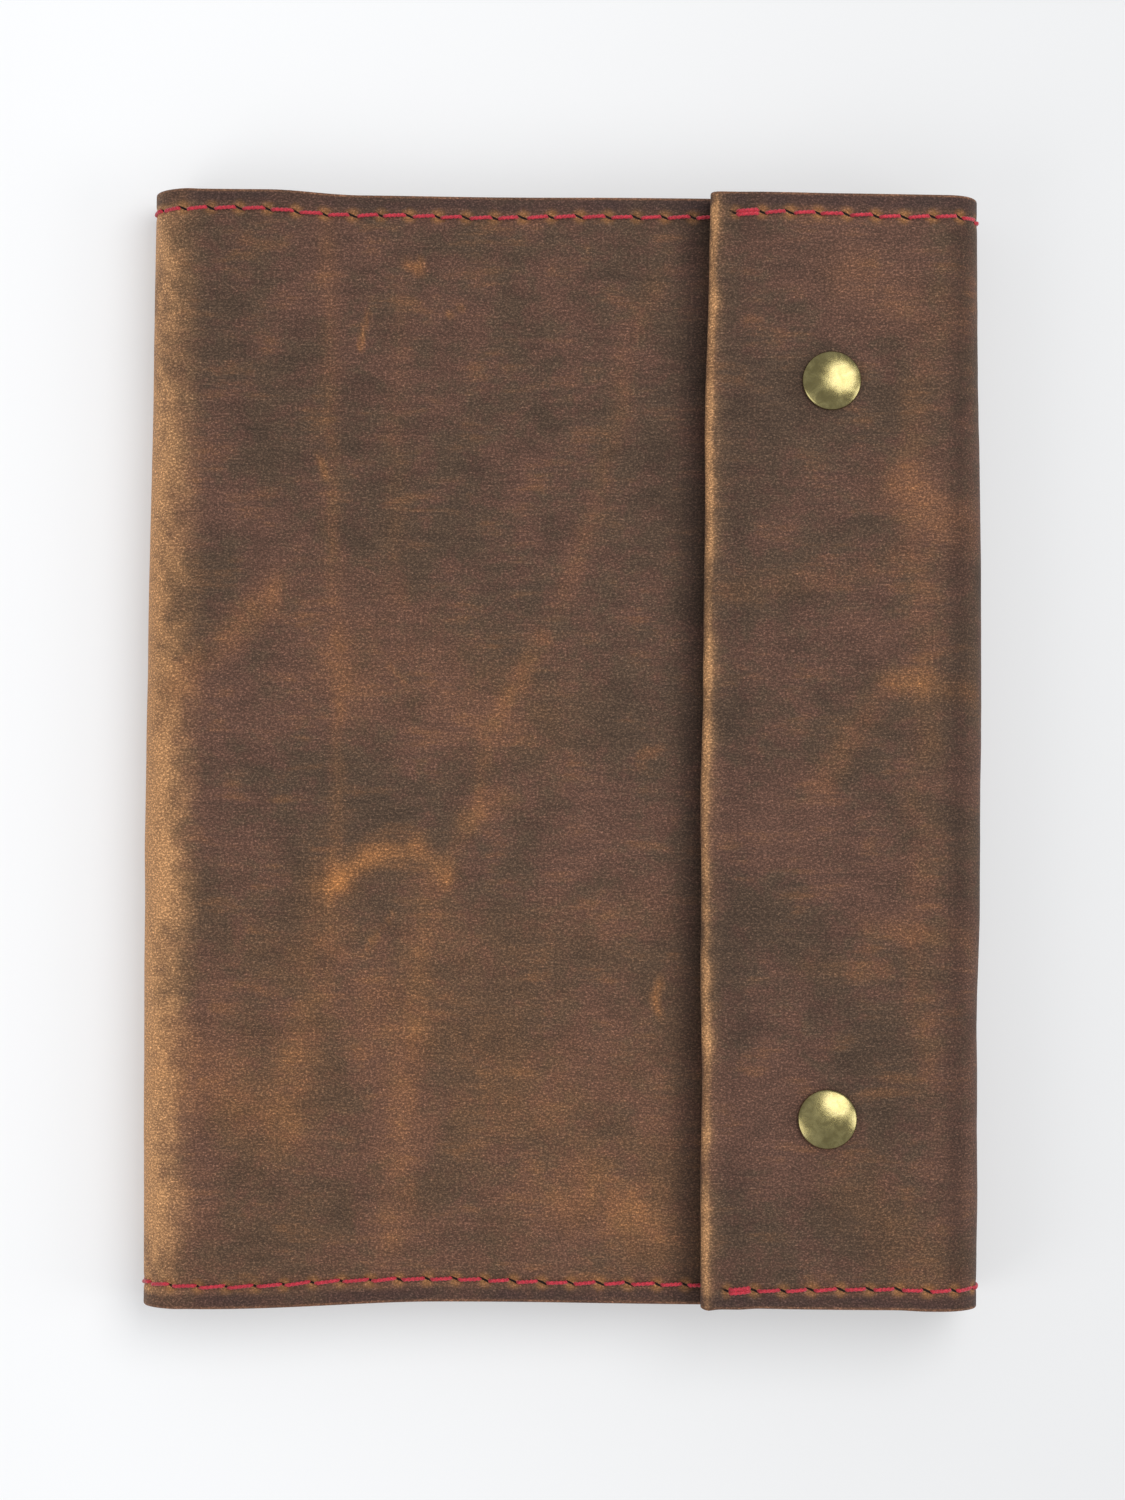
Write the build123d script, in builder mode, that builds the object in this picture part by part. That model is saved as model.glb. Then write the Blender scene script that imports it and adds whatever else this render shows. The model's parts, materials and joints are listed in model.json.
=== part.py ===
from build123d import *
import os

# A5 leather notebook cover, closed and lying on its back.
# One strip of leather runs: front, spine, back, fore-edge wall, flap. The flap folds over the
# free edge of the front and is held by two spring snaps. A case-bound notebook slips into
# a pocket behind the front and another behind the back.
# Frame: X across the cover, with the spine at -X and the fore-edge at +X; Y along the spine;
# Z up from the table. The origin is the middle of the bottom of the closed cover. All sizes in mm.

# ---- Driving dimensions ----
cover_width = 176.0
cover_height = 233.0
front_height = 232.4
leather = 1.8
lining = 1.2
slip = 0.05  # air between pieces that slide past each other

board = 2.0
board_width = 150.0
board_height = 214.0
board_start = 8.5  # from the outside of the spine to the boards
page_width = 144.0
page_height = 209.0
page_thickness = 9.0
strip_thickness = 0.8
corner_radius = 5.0

board_play = 1.0  # the pocket's cavity is this much larger than the board
flap_width = 58.4
front_short = 9.0  # the front's free edge stops this far inside the fore-edge
fold_radius = 1.3

snap_from_edge = 32.1  # from the outside of the fore-edge to the snap centres
snap_spacing = 154.4
cap_diameter = 12.4
cap_dome = 1.9
cap_wall = 0.5
tube_radius = 1.8
tube_bore = 1.3
hole_clearance = 0.05

socket_radius = 5.6
socket_height = 2.4
socket_plate = 0.5
socket_bore = 2.75
spring_groove = 3.3
spring_lift = 0.6  # from the socket's mouth to its groove
spring_height = 0.7
spring_inner = 2.68
spring_outer = 3.2
socket_round = 0.5

stud_flange_radius = 4.5
stud_flange = 0.45
stud_height = 2.0
stud_radius = 2.3
stud_neck = 1.95
stud_head = 0.7
stud_taper = 0.3
stud_round = 0.5
post_radius = 1.5
post_flange_radius = 4.5
post_flange = 0.5
under_socket = 0.6  # from the front's outer face to the socket

stitch_pitch = 6.05
stitch_length = 4.9
thread = 0.8
thread_height = 0.5
stitch_from_edge = 4.0
stitch_margin = 3.2  # kept clear at each end of a panel
slit_length = 3.7
slit_width = 0.9

# ---- Levels, from the table up ----
left = -cover_width / 2
right = cover_width / 2
ply = leather + lining
back_board_z = leather + slip
back_pocket_top = back_board_z + board + slip + lining
page_z = back_pocket_top + slip
front_pocket_z = page_z + page_thickness + slip
front_board_z = front_pocket_z + lining + slip
front_inner = front_board_z + board + slip + post_flange + slip
front_top = front_inner + leather
socket_z = front_top + under_socket
flap_lining_z = socket_z + socket_height
flap_inner = flap_lining_z + lining
flap_top = flap_inner + leather

front_edge = right - front_short
flap_edge = right - flap_width
snap_x = right - snap_from_edge
snap_names = {"upper": snap_spacing / 2, "lower": -snap_spacing / 2}
board_x = left + board_start
row_y = cover_height / 2 - stitch_from_edge
front_row_y = front_height / 2 - stitch_from_edge

os.makedirs("parts", exist_ok=True)


def stitch_count(length):
    """Whole stitches that fit along a panel of this length."""
    return int((length - 2 * stitch_margin) / stitch_pitch)


def save(builder, name):
    """Label a finished piece and write it to its own file."""
    builder.part.label = name
    export_step(builder.part, f"parts/{name}.step")


def across(y):
    """A plane across the strip at this y: its x is X and its y is Z."""
    return Plane(origin=(0, y, 0), x_dir=(1, 0, 0), z_dir=(0, -1, 0))


def facing(x, z, x_dir, outward):
    """A plane on a panel's outer face, at its middle."""
    return Plane(origin=(x, 0, z), x_dir=x_dir, z_dir=outward)


# Each panel's outer face: its plane, its length along the strip and the y of its stitch rows.
back_face = facing(0, 0, (1, 0, 0), (0, 0, -1))
spine_face = facing(left, front_top / 2, (0, 0, 1), (-1, 0, 0))
front_face = facing((left + front_edge) / 2, front_top, (1, 0, 0), (0, 0, 1))
fore_edge_face = facing(right, flap_top / 2, (0, 0, 1), (1, 0, 0))
flap_face = facing((flap_edge + right) / 2, flap_top, (1, 0, 0), (0, 0, 1))
panels = {
    "back": (back_face, cover_width, row_y),
    "spine": (spine_face, front_top, row_y),
    "front": (front_face, front_edge - left, front_row_y),
    "fore_edge": (fore_edge_face, flap_top, row_y),
    "flap": (flap_face, flap_width, row_y),
}


def sewing_slits(name, groove_depth):
    """Cut a panel's sewing slits at its head and tail, and the groove that its thread lies in."""
    face, length, y = panels[name]
    with BuildSketch(face) as slits:
        with GridLocations(stitch_pitch, 2 * y, stitch_count(length) + 1, 2):
            SlotOverall(slit_length, slit_width)
    extrude(slits.sketch, amount=-ply, mode=Mode.SUBTRACT)
    with BuildSketch(face.offset(-groove_depth)) as grooves:
        with GridLocations(1, 2 * y, 1, 2):
            Rectangle(length, slit_width)
    extrude(grooves.sketch, amount=-thread_height, mode=Mode.SUBTRACT)


# ---- Outer leather, one panel for each side, mitred at the folds ----
with BuildPart() as back_leather:
    with BuildSketch(across(cover_height / 2)):
        with BuildLine():
            Polyline(
                (left, 0),
                (right, 0),
                (right - leather, leather),
                (left + leather, leather),
                close=True,
            )
        make_face()
    extrude(amount=cover_height)
    sewing_slits("back", 0)
save(back_leather, "back_leather")

with BuildPart() as spine_leather:
    with BuildSketch(across(cover_height / 2)):
        with BuildLine():
            Polyline(
                (left, 0),
                (left + leather, leather),
                (left + leather, front_top - leather),
                (left, front_top),
                close=True,
            )
        make_face()
    extrude(amount=cover_height)
    sewing_slits("spine", 0)
save(spine_leather, "spine_leather")

with BuildPart() as front_leather:
    with BuildSketch(across(front_height / 2)):
        with BuildLine():
            Polyline(
                (left, front_top),
                (left + leather, front_inner),
                (front_edge - leather, front_inner),
                (front_edge - leather, front_inner - lining),
                (front_edge, front_inner - lining),
                (front_edge, front_top),
                close=True,
            )
        make_face()
    extrude(amount=front_height)
    free_edge = front_leather.edges().filter_by(Axis.Y).group_by(Axis.X)[-1]
    fillet(free_edge, fold_radius)
    with Locations(front_face):
        with Locations(*[(snap_x - front_face.origin.X, y) for y in snap_names.values()]):
            Hole(post_radius + hole_clearance, depth=leather)
    sewing_slits("front", 0)
save(front_leather, "front_leather")

with BuildPart() as fore_edge_leather:
    with BuildSketch(across(cover_height / 2)):
        with BuildLine():
            Polyline(
                (right, 0),
                (right, flap_top),
                (right - leather, flap_inner),
                (right - leather, leather),
                close=True,
            )
        make_face()
    extrude(amount=cover_height)
    sewing_slits("fore_edge", 0)
save(fore_edge_leather, "fore_edge_leather")

with BuildPart() as flap_leather:
    with BuildSketch(across(cover_height / 2)):
        with BuildLine():
            Polyline(
                (right, flap_top),
                (flap_edge, flap_top),
                (flap_edge, flap_lining_z),
                (flap_edge + leather, flap_lining_z),
                (flap_edge + leather, flap_inner),
                (right - leather, flap_inner),
                close=True,
            )
        make_face()
    extrude(amount=cover_height)
    free_edge = flap_leather.edges().filter_by(Axis.Y).group_by(Axis.X)[0]
    fillet(free_edge, fold_radius)
    with Locations(flap_face):
        with Locations(*[(snap_x - flap_face.origin.X, y) for y in snap_names.values()]):
            Hole(tube_radius + hole_clearance, depth=leather)
    sewing_slits("flap", 0)
save(flap_leather, "flap_leather")

# ---- Linings of the narrow panels ----
with BuildPart() as spine_lining:
    with BuildSketch(across(cover_height / 2)):
        with BuildLine():
            Polyline(
                (left + leather, leather),
                (left + ply, ply),
                (left + ply, front_top - ply),
                (left + leather, front_inner),
                close=True,
            )
        make_face()
    extrude(amount=cover_height)
    sewing_slits("spine", ply - thread_height)
save(spine_lining, "spine_lining")

with BuildPart() as fore_edge_lining:
    with BuildSketch(across(cover_height / 2)):
        with BuildLine():
            Polyline(
                (right - leather, leather),
                (right - leather, flap_inner),
                (right - ply, flap_lining_z),
                (right - ply, ply),
                close=True,
            )
        make_face()
    extrude(amount=cover_height)
    sewing_slits("fore_edge", ply - thread_height)
save(fore_edge_lining, "fore_edge_lining")

with BuildPart() as flap_lining:
    with BuildSketch(across(cover_height / 2)):
        with BuildLine():
            Polyline(
                (flap_edge + leather, flap_lining_z),
                (right - ply, flap_lining_z),
                (right - leather, flap_inner),
                (flap_edge + leather, flap_inner),
                close=True,
            )
        make_face()
    extrude(amount=cover_height)
    with Locations(flap_face):
        with Locations(*[(snap_x - flap_face.origin.X, y) for y in snap_names.values()]):
            Hole(tube_radius + hole_clearance, depth=ply)
    sewing_slits("flap", ply - thread_height)
save(flap_lining, "flap_lining")

# ---- Pockets: a sewn border against the leather, raised over the notebook's board ----
cavity_end = board_x + board_width + board_play
cavity_height = board_height + board_play
raised_height = cavity_height + 2 * lining

with BuildPart() as back_pocket:
    with BuildSketch(across(cover_height / 2)):
        with BuildLine():
            Polyline(
                (left + leather, leather),
                (right - leather, leather),
                (right - ply, ply),
                (left + ply, ply),
                close=True,
            )
        make_face()
    extrude(amount=cover_height)
    with BuildSketch(Plane.XY.offset(ply)):
        with Locations((board_x, 0)):
            Rectangle(cavity_end + lining - board_x, raised_height, align=(Align.MIN, Align.CENTER))
    extrude(amount=back_pocket_top - ply)
    with BuildSketch(Plane.XY.offset(leather)):
        with Locations((board_x, 0)):
            Rectangle(cavity_end - board_x, cavity_height, align=(Align.MIN, Align.CENTER))
    extrude(amount=board + 2 * slip, mode=Mode.SUBTRACT)
    sewing_slits("back", ply - thread_height)
save(back_pocket, "back_pocket")

with BuildPart() as front_pocket:
    with BuildSketch(across(front_height / 2)):
        with BuildLine():
            Polyline(
                (left + leather, front_inner),
                (left + ply, front_top - ply),
                (front_edge - leather, front_top - ply),
                (front_edge - leather, front_inner),
                close=True,
            )
        make_face()
    extrude(amount=front_height)
    with BuildSketch(Plane.XY.offset(front_pocket_z)):
        with Locations((board_x, 0)):
            Rectangle(cavity_end + lining - board_x, raised_height, align=(Align.MIN, Align.CENTER))
    extrude(amount=front_top - ply - front_pocket_z)
    with BuildSketch(Plane.XY.offset(front_pocket_z + lining)):
        with Locations((board_x, 0)):
            Rectangle(cavity_end - board_x, cavity_height, align=(Align.MIN, Align.CENTER))
    extrude(amount=front_inner - front_pocket_z - lining, mode=Mode.SUBTRACT)
    sewing_slits("front", ply - thread_height)
save(front_pocket, "front_pocket")

# ---- Sewing: each stitch is a loop of thread round both layers, with its legs in the slits ----
for panel_name, (face, length, y) in panels.items():
    with BuildPart() as stitches:
        for row in (y, -y):
            edge_on = Plane(
                origin=face.origin + face.y_dir * row + face.y_dir * (thread / 2),
                x_dir=face.x_dir,
                z_dir=face.y_dir,
            )
            middle = ply / 2 * edge_on.y_dir.dot(-face.z_dir)
            with BuildSketch(edge_on):
                with Locations((0, middle)):
                    with GridLocations(stitch_pitch, 1, stitch_count(length), 1):
                        Rectangle(stitch_length, ply)
                        Rectangle(stitch_length - 2 * thread, ply - 2 * thread_height, mode=Mode.SUBTRACT)
            extrude(amount=-thread)
    save(stitches, f"{panel_name}_stitches")

# ---- Spring snaps: cap, socket and spring on the flap; stud and post on the front ----
for end, snap_y in snap_names.items():
    profile = across(snap_y)
    snap_axis = Axis((snap_x, snap_y, 0), (0, 0, 1))

    with BuildPart() as cap:
        cap_radius = cap_diameter / 2
        dome_start = (snap_x + cap_radius, flap_top + cap_wall)
        dome_top = (snap_x, flap_top + cap_dome)
        tube_end = flap_lining_z - socket_plate
        with BuildSketch(profile):
            with BuildLine():
                Polyline(
                    dome_top,
                    (snap_x, flap_top + cap_dome - cap_wall),
                    (snap_x + tube_bore, flap_top + cap_dome - cap_wall),
                    (snap_x + tube_bore, tube_end),
                    (snap_x + tube_radius, tube_end),
                    (snap_x + tube_radius, flap_top + cap_wall),
                    (snap_x + cap_radius - cap_wall, flap_top + cap_wall),
                    (snap_x + cap_radius - cap_wall, flap_top),
                    (snap_x + cap_radius, flap_top),
                    dome_start,
                )
                TangentArc(dome_top, dome_start, tangent=(1, 0))
            make_face()
        revolve(axis=snap_axis)
    save(cap, f"{end}_snap_cap")

    with BuildPart() as socket:
        plate_z = flap_lining_z - socket_plate
        spring_z = socket_z + spring_lift
        with BuildSketch(profile):
            with BuildLine():
                Polyline(
                    (snap_x + tube_radius + hole_clearance, plate_z),
                    (snap_x + tube_radius + hole_clearance, flap_lining_z),
                    (snap_x + socket_radius, flap_lining_z),
                    (snap_x + socket_radius, socket_z),
                    (snap_x + socket_bore, socket_z),
                    (snap_x + socket_bore, spring_z),
                    (snap_x + spring_groove, spring_z),
                    (snap_x + spring_groove, spring_z + spring_height),
                    (snap_x + socket_bore, spring_z + spring_height),
                    (snap_x + socket_bore, plate_z),
                    close=True,
                )
            make_face()
        revolve(axis=snap_axis)
        lip = socket.edges().filter_by(GeomType.CIRCLE).group_by(Axis.Z)[0].sort_by(SortBy.RADIUS)[-1]
        fillet(lip, socket_round)
    save(socket, f"{end}_snap_socket")

    with BuildPart() as spring:
        with BuildSketch(Plane.XY.offset(spring_z + slip)):
            with Locations((snap_x, snap_y)):
                Circle(spring_outer)
                Circle(spring_inner, mode=Mode.SUBTRACT)
        extrude(amount=spring_height - 2 * slip)
    save(spring, f"{end}_snap_spring")

    with BuildPart() as stud:
        head_z = front_top + stud_height
        with BuildSketch(profile):
            with BuildLine():
                Polyline(
                    (snap_x + post_radius + hole_clearance, front_top),
                    (snap_x + stud_flange_radius, front_top),
                    (snap_x + stud_flange_radius, front_top + stud_flange),
                    (snap_x + stud_neck, front_top + stud_flange),
                    (snap_x + stud_neck, head_z - stud_head - stud_taper),
                    (snap_x + stud_radius, head_z - stud_head),
                    (snap_x + stud_radius, head_z),
                    (snap_x, head_z),
                    (snap_x, head_z - cap_wall),
                    (snap_x + post_radius + hole_clearance, head_z - cap_wall),
                    close=True,
                )
            make_face()
        revolve(axis=snap_axis)
        crown = stud.edges().filter_by(GeomType.CIRCLE).group_by(Axis.Z)[-1]
        fillet(crown, stud_round)
    save(stud, f"{end}_snap_stud")

    with BuildPart() as post:
        post_end = head_z - cap_wall
        with BuildSketch(Plane.XY.offset(front_inner - post_flange)):
            with Locations((snap_x, snap_y)):
                Circle(post_flange_radius)
        extrude(amount=post_flange)
        with BuildSketch(Plane.XY.offset(front_inner)):
            with Locations((snap_x, snap_y)):
                Circle(post_radius)
        extrude(amount=post_end - front_inner)
    save(post, f"{end}_snap_post")

# ---- The notebook: two boards, a spine strip and a block of pages ----
with BuildPart() as notebook_back_board:
    with BuildSketch(Plane.XY.offset(back_board_z)):
        with Locations((board_x + board_width / 2, 0)):
            Rectangle(board_width, board_height)
    extrude(amount=board)
    fore_corners = notebook_back_board.edges().filter_by(Axis.Z).group_by(Axis.X)[-1]
    fillet(fore_corners, corner_radius)
save(notebook_back_board, "notebook_back_board")

with BuildPart() as notebook_front_board:
    with BuildSketch(Plane.XY.offset(front_board_z)):
        with Locations((board_x + board_width / 2, 0)):
            Rectangle(board_width, board_height)
    extrude(amount=board)
    fore_corners = notebook_front_board.edges().filter_by(Axis.Z).group_by(Axis.X)[-1]
    fillet(fore_corners, corner_radius)
save(notebook_front_board, "notebook_front_board")

strip_x = left + ply + slip
strip_ends = ply + slip

with BuildPart() as notebook_spine_strip:
    with BuildSketch(Plane.XY.offset(strip_ends)):
        with Locations((strip_x, 0)):
            Rectangle(strip_thickness, board_height, align=(Align.MIN, Align.CENTER))
    extrude(amount=front_top - 2 * strip_ends)
save(notebook_spine_strip, "notebook_spine_strip")

with BuildPart() as page_block:
    with BuildSketch(Plane.XY.offset(page_z)):
        with Locations((board_x + page_width / 2, 0)):
            Rectangle(page_width, page_height)
    extrude(amount=page_thickness)
    fore_corners = page_block.edges().filter_by(Axis.Z).group_by(Axis.X)[-1]
    fillet(fore_corners, corner_radius)
save(page_block, "page_block")
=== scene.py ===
"""A5 leather notebook cover: the looks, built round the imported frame. Sizes are in millimetres
until a mesh is made, and MM turns them into metres."""

import json
import math

import bpy
import numpy as np
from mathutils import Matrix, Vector


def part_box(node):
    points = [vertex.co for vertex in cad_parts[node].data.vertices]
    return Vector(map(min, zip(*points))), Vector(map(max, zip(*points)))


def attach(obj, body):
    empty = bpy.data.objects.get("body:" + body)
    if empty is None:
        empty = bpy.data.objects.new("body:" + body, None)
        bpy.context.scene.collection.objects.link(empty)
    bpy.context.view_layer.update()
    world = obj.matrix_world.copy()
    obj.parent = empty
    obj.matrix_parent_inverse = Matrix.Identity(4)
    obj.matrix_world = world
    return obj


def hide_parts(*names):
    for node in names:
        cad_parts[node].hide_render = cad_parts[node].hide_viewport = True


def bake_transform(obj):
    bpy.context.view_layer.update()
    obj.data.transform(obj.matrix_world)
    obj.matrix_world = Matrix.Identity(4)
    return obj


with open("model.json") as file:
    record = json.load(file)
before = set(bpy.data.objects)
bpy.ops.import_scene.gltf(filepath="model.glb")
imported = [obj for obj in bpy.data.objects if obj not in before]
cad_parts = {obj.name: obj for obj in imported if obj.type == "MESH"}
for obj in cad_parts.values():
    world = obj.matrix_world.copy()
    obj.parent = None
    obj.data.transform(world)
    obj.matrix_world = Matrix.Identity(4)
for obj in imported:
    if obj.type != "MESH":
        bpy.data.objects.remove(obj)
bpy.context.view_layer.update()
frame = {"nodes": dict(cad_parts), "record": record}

MM = 0.001


def low(node):
    return np.array(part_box(node)[0]) / MM


def high(node):
    return np.array(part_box(node)[1]) / MM


# ---- Sizes from the frame ----
left = low("back_leather")[0]
right = high("back_leather")[0]
front_edge = high("front_leather")[0]
front_top = high("front_leather")[2]
flap_edge = low("flap_leather")[0]
flap_top = high("flap_leather")[2]
board_left = low("notebook_front_board")[0]
board_right = high("notebook_front_board")[0]
board_half = high("notebook_front_board")[1]
leather = high("back_leather")[2] - low("back_leather")[2]
ply = leather + high("flap_lining")[2] - low("flap_lining")[2]
lining = ply - leather
front_pocket_depth = front_top - high("notebook_front_board")[2]
snaps = {}
for end in ("upper", "lower"):
    snaps[end] = (low(f"{end}_snap_cap") + high(f"{end}_snap_cap")) / 2
cap_radius = (high("upper_snap_cap")[0] - low("upper_snap_cap")[0]) / 2
cap_top = high("upper_snap_cap")[2]

# ---- Shape of the leather ----
SPINE_ROUND = 10.5  # how far the rounding of the spine reaches across the cover
FORE_ROUND = 9.0
FRONT_NOSE = 1.5  # radius of the turned free edge of the front
FLAP_NOSE = 2.1
FRONT_HEM = 3.0
FLAP_HEM = 5.0
HALF_HEIGHT = 116.7
INSET = 4.35  # from the cut edge to the sewing
STITCH = 6.05
STITCH_RUN = 4.35
THREAD = 0.43
STITCH_TILT = math.radians(4.5)
SLIT_ANGLE = math.radians(-24)


# ---- Small tools ----
def smooth(t):
    t = np.clip(t, 0, 1)
    return t * t * (3 - 2 * t)


def bump(x, centre, width):
    return np.exp(-(((x - centre) / width) ** 2))


def value_noise(x, y, size, seed):
    """Smooth noise from -1 to 1, with cells of this size in mm."""
    grid = np.random.default_rng(seed).uniform(-1, 1, (256, 256))
    x, y = np.asarray(x) / size + 64.3, np.asarray(y) / size + 64.7
    i, j = np.floor(x).astype(int), np.floor(y).astype(int)
    u, v = smooth(x - i), smooth(y - j)
    i, j = i % 255, j % 255
    low_row = grid[i, j] * (1 - u) + grid[i + 1, j] * u
    high_row = grid[i, j + 1] * (1 - u) + grid[i + 1, j + 1] * u
    return low_row * (1 - v) + high_row * v


def linear(red, green, blue):
    """A colour given in 0 to 255 display values, as Blender wants it."""
    values = [c / 255 for c in (red, green, blue)]
    return [c / 12.92 if c <= 0.04045 else ((c + 0.055) / 1.055) ** 2.4 for c in values] + [1.0]


# ---- The strip: the path of the leather's outer face, seen from the tail ----
def arc(x, z, across, up, start, stop):
    angles = np.radians(np.linspace(start, stop, 240))
    return np.stack([x + across * np.cos(angles), z + up * np.sin(angles)], 1)


def run(x0, z0, x1, z1):
    return np.linspace((x0, z0), (x1, z1), 300)


stretches = [
    ("front_hem", run(front_edge - FRONT_NOSE - FRONT_HEM, front_top - 2 * FRONT_NOSE,
                      front_edge - FRONT_NOSE, front_top - 2 * FRONT_NOSE)),
    ("front_nose", arc(front_edge - FRONT_NOSE, front_top - FRONT_NOSE, FRONT_NOSE, FRONT_NOSE, -90, 90)),
    ("front", run(front_edge - FRONT_NOSE, front_top, left + SPINE_ROUND, front_top)),
    ("spine", arc(left + SPINE_ROUND, front_top / 2, SPINE_ROUND, front_top / 2, 90, 270)),
    ("back", run(left + SPINE_ROUND, 0, right - FORE_ROUND, 0)),
    ("low_bend", arc(right - FORE_ROUND, FORE_ROUND, FORE_ROUND, FORE_ROUND, -90, 0)),
    ("wall", run(right, FORE_ROUND, right, flap_top - FORE_ROUND)),
    ("high_bend", arc(right - FORE_ROUND, flap_top - FORE_ROUND, FORE_ROUND, FORE_ROUND, 0, 90)),
    ("flap", run(right - FORE_ROUND, flap_top, flap_edge + FLAP_NOSE, flap_top)),
    ("flap_nose", arc(flap_edge + FLAP_NOSE, flap_top - FLAP_NOSE, FLAP_NOSE, FLAP_NOSE, 90, 270)),
    ("flap_hem", run(flap_edge + FLAP_NOSE, flap_top - 2 * FLAP_NOSE,
                     flap_edge + FLAP_NOSE + FLAP_HEM, flap_top - 2 * FLAP_NOSE)),
]
path = np.concatenate([points[1:] for _, points in stretches])
path_s = np.concatenate([[0], np.cumsum(np.linalg.norm(np.diff(path, axis=0), axis=1))])
path_t = np.gradient(path, path_s, axis=0)
path_t /= np.linalg.norm(path_t, axis=1)[:, None]
begin, finish, count = {}, {}, 0
for stretch, points in stretches:
    begin[stretch] = path_s[max(count - 1, 0)]
    count += len(points) - 1
    finish[stretch] = path_s[count - 1]
strip_end = path_s[-1]
mid_spine = (begin["spine"] + finish["spine"]) / 2
mid_back = (begin["back"] + finish["back"]) / 2
mid_wall = (begin["wall"] + finish["wall"]) / 2
front_zero = begin["front"] + front_edge - FRONT_NOSE  # where the front has x = 0


def on_front(x):
    """How far along the strip the front has this x."""
    return front_zero - x


def on_back(x):
    return begin["back"] + x - (left + SPINE_ROUND)


def on_flap(x):
    return begin["flap"] + (right - FORE_ROUND) - x


row_start = on_front(front_edge - 4)
row_stop = on_flap(flap_edge + 5.2)
stitch_total = round((row_stop - row_start) / STITCH)
pitch = (row_stop - row_start) / stitch_total


def place(s):
    """Point, outward normal and direction of the path, each as x and z."""
    x = np.interp(s, path_s, path[:, 0])
    z = np.interp(s, path_s, path[:, 1])
    tx = np.interp(s, path_s, path_t[:, 0])
    tz = np.interp(s, path_s, path_t[:, 1])
    size = np.hypot(tx, tz)
    return x, z, tz / size, -tx / size


def within(s, first, last, soft=4.0):
    """1 between two places along the strip, fading outside them."""
    return smooth((s - first) / soft + 1) * smooth((last - s) / soft + 1)


def near_spine(s, x, length):
    """Rises from 0 to 1 toward the spine, over this length from this x on the front and the back."""
    return smooth((s - on_front(x)) / length) * smooth((on_back(x) - s) / length)


def head(s):
    """y of the cut edge at the head."""
    wave = 0.06 * np.sin(s / 9.0) + 0.06 * np.sin(s / 23.0 + 1)
    return HALF_HEIGHT + 0.2 + 1.2 * near_spine(s, -44, 20) + 0.25 * smooth((s - on_flap(58)) / 20) + wave


def tail(s):
    """How far the cut edge at the tail lies below the middle."""
    wave = 0.07 * np.sin(s / 11.0 + 2) + 0.06 * np.sin(s / 19.0)
    at_wall = 0.3 * within(s, mid_wall, on_flap(78), 8)
    folded = 0.3 * smooth((s - on_flap(42)) / 5) + 0.3 * bump(s, on_flap(31), 1.6)
    return HALF_HEIGHT + 2.0 * near_spine(s, -25, 52) + at_wall + folded + wave


def inset(s, v):
    """From the cut edge to the sewing."""
    wander = 0.16 * np.sin(s / 14.0) + 0.10 * np.sin(s / 5.3 + 1)
    at_head = 0.22 * smooth((s - mid_wall) / 8) + 0.35 * bump(s, on_flap(71), 7) + 0.30 * bump(s, on_front(-57), 9)
    at_tail = 0.65 * near_spine(s, -5, 40) - 0.30 * smooth((s - on_flap(55)) / 12)
    return INSET + wander + np.where(v > 0, at_head, at_tail)


def edge_distance(s, v):
    return np.minimum(head(s) - v, v + tail(s))


def swell(s, v, sewn=True):
    """How far the leather stands out of the plain path."""
    e = edge_distance(s, v)
    panel = within(s, on_front(front_edge), begin["spine"]) + within(s, finish["spine"], begin["low_bend"])
    flap = within(s, finish["high_bend"], begin["flap_nose"])
    out = 0.20 * value_noise(s, v, 42, 1) + 0.07 * value_noise(s, v, 12, 2) + 0.03 * value_noise(s, v, 4, 3)
    out = out * smooth((s - begin["front_nose"]) / 10)
    out -= panel * 0.85 * (1 - smooth(e / 9.0)) + flap * 0.35 * (1 - smooth(e / 6.0))
    out += 0.07 * bump(s, on_front(-48), 1.6) * smooth((v + 45) / 40)
    out += 0.10 * bump(s, on_flap(flap_edge + 2.6), 2.2) - 0.12 * bump(s, on_flap(flap_edge + 6.5), 3.0)
    for centre in snaps.values():
        away = np.hypot(s - on_flap(centre[0]), v - centre[1])
        out += flap * (0.16 * bump(away, cap_radius + 1.0, 1.2) - 0.42 * bump(away, cap_radius + 4.0, 4.0))
    out -= within(s, finish["spine"], begin["low_bend"]) * np.maximum(out, 0)
    if sewn:
        row = e - inset(s, v)
        on_row = (s > row_start - 2) & (s < row_stop + 2)
        along = (s - row_start + pitch / 2) % pitch - pitch / 2
        out -= on_row * (0.16 * bump(row, 0, 0.9) + 0.50 * bump(along, 0, 1.25) * bump(row, 0, 0.75))
    return out


def edge_wander(s, v):
    """How far the flap's folded edge strays across the cover."""
    near = smooth((s - on_flap(flap_edge + 22)) / 20)
    curve = -0.45 * np.cos(math.pi * v / 180) + 0.22 * np.sin(v / 15.0) + 0.10 * np.sin(v / 6.3)
    return near * (curve + 0.2)


def bow(s, v):
    """How far the spine and the fore-edge stand out sideways."""
    wall = 0.5 * np.cos(v / 75.0) - 0.85 * smooth((v - 20) / 75) - 0.4 * bump(v, -56, 13)
    wall = (wall + 0.25 * smooth((-80 - v) / 20)) * within(s, begin["wall"], finish["wall"], 12)
    return wall + 0.95 * bump(v, 0, 68) * within(s, begin["spine"], finish["spine"], 12)


def strip_points(s, v, depth, sewn=True):
    """Points at these places along and across the strip, this far below its outer face."""
    x, z, nx, nz = place(s)
    out = swell(s, v, sewn) - depth
    return np.stack([x + nx * (out + bow(s, v)) + edge_wander(s, v), v, z + nz * out], -1)


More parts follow.
